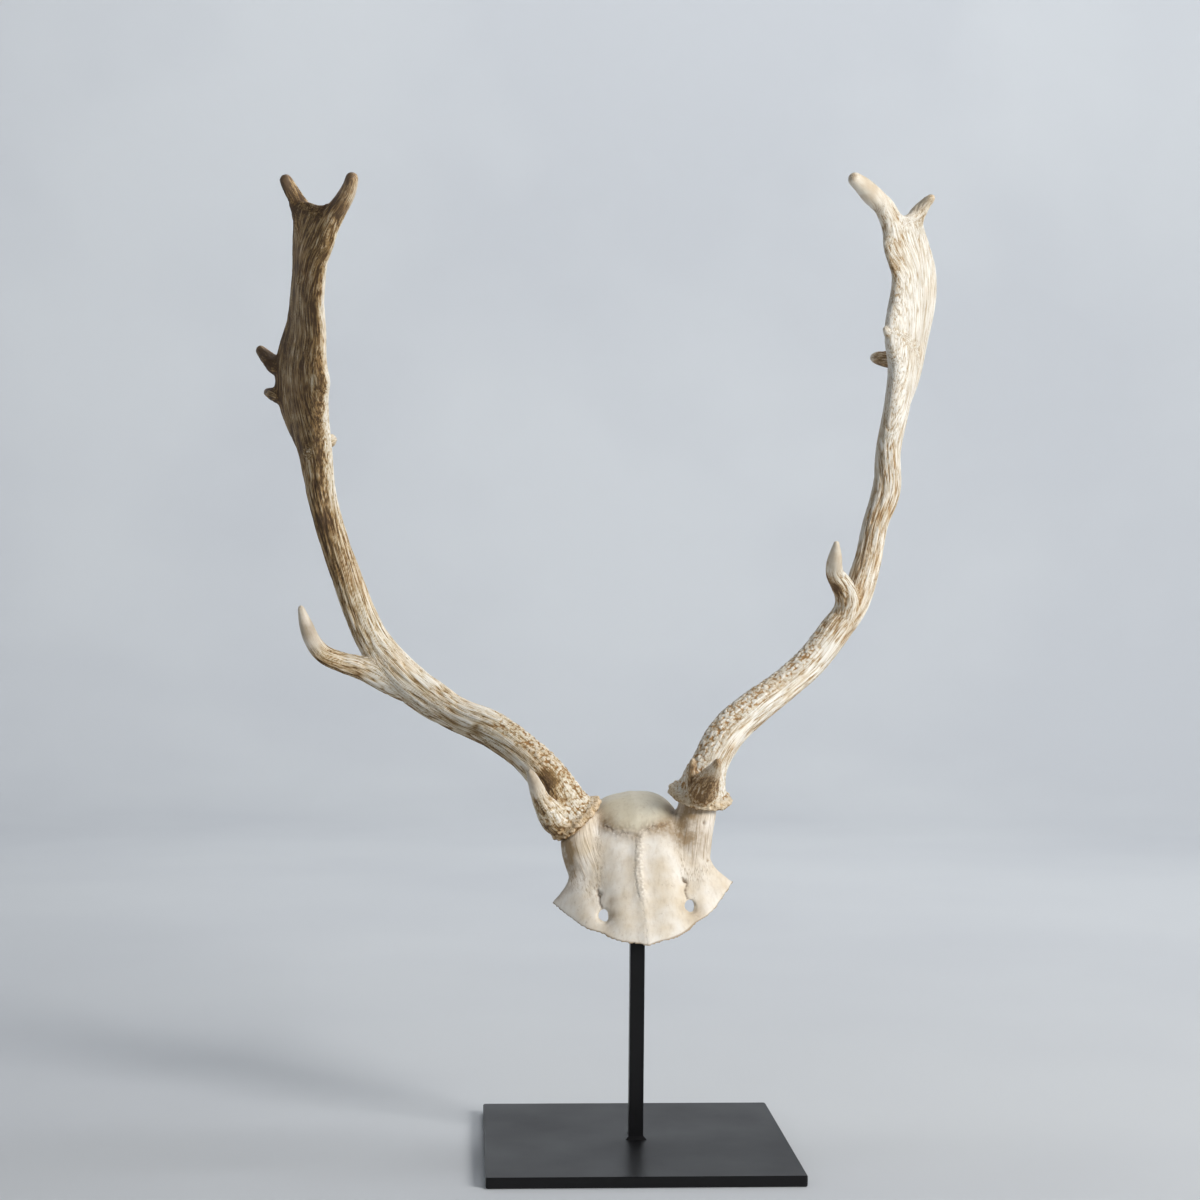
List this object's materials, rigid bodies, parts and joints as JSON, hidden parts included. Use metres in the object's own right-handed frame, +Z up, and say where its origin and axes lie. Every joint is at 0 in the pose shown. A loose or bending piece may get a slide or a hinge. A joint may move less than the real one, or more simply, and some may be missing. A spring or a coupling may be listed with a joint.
{
  "type": "fallow deer skull cap with antlers on a stand",
  "caption": "Sawn fallow deer skull cap with both palmate antlers, held upright by a square black rod on a flat square base plate.",
  "frame": {"origin": "centre of the base plate's underside, where the stand rests", "axes": "+Z up along the rod towards the antler tips, +X to the right and +Y away from a viewer who faces the forehead"},
  "size_m": [0.4956, 0.2633, 0.6556],
  "materials": {
    "skull_bone": "matt, smooth off-white bone with brown suture stains",
    "left_antler": "matt, pearled and ridged, grey-brown to cream",
    "right_antler": "matt, pearled and ridged, pale cream with brown lines",
    "black_steel": "satin black"
  },
  "bodies": {
    "root": {"stand_plate": "black_steel", "stand_rod": "black_steel", "stand_weld": "black_steel", "stand_saddle": "black_steel", "stand_screw_left": "black_steel", "stand_screw_right": "black_steel", "skull_frontal_left": "skull_bone", "skull_frontal_right": "skull_bone", "skull_parietal": "skull_bone", "skull_pedicle_left": "skull_bone", "skull_pedicle_right": "skull_bone", "antler_left_burr": "left_antler", "antler_left_lower_beam": "left_antler", "antler_left_upper_beam": "left_antler", "antler_left_palm": "left_antler", "antler_left_brow_tine": "left_antler", "antler_left_trez_tine": "left_antler", "antler_left_front_point": "left_antler", "antler_left_rear_point": "left_antler", "antler_left_upper_spur": "left_antler", "antler_left_lower_spur": "left_antler", "antler_left_knob": "left_antler", "antler_right_burr": "right_antler", "antler_right_lower_beam": "right_antler", "antler_right_upper_beam": "right_antler", "antler_right_palm": "right_antler", "antler_right_brow_tine": "right_antler", "antler_right_trez_tine": "right_antler", "antler_right_front_point": "right_antler", "antler_right_rear_point": "right_antler", "antler_right_back_spur": "right_antler", "antler_right_knob": "right_antler"}
  },
  "joints": []
}
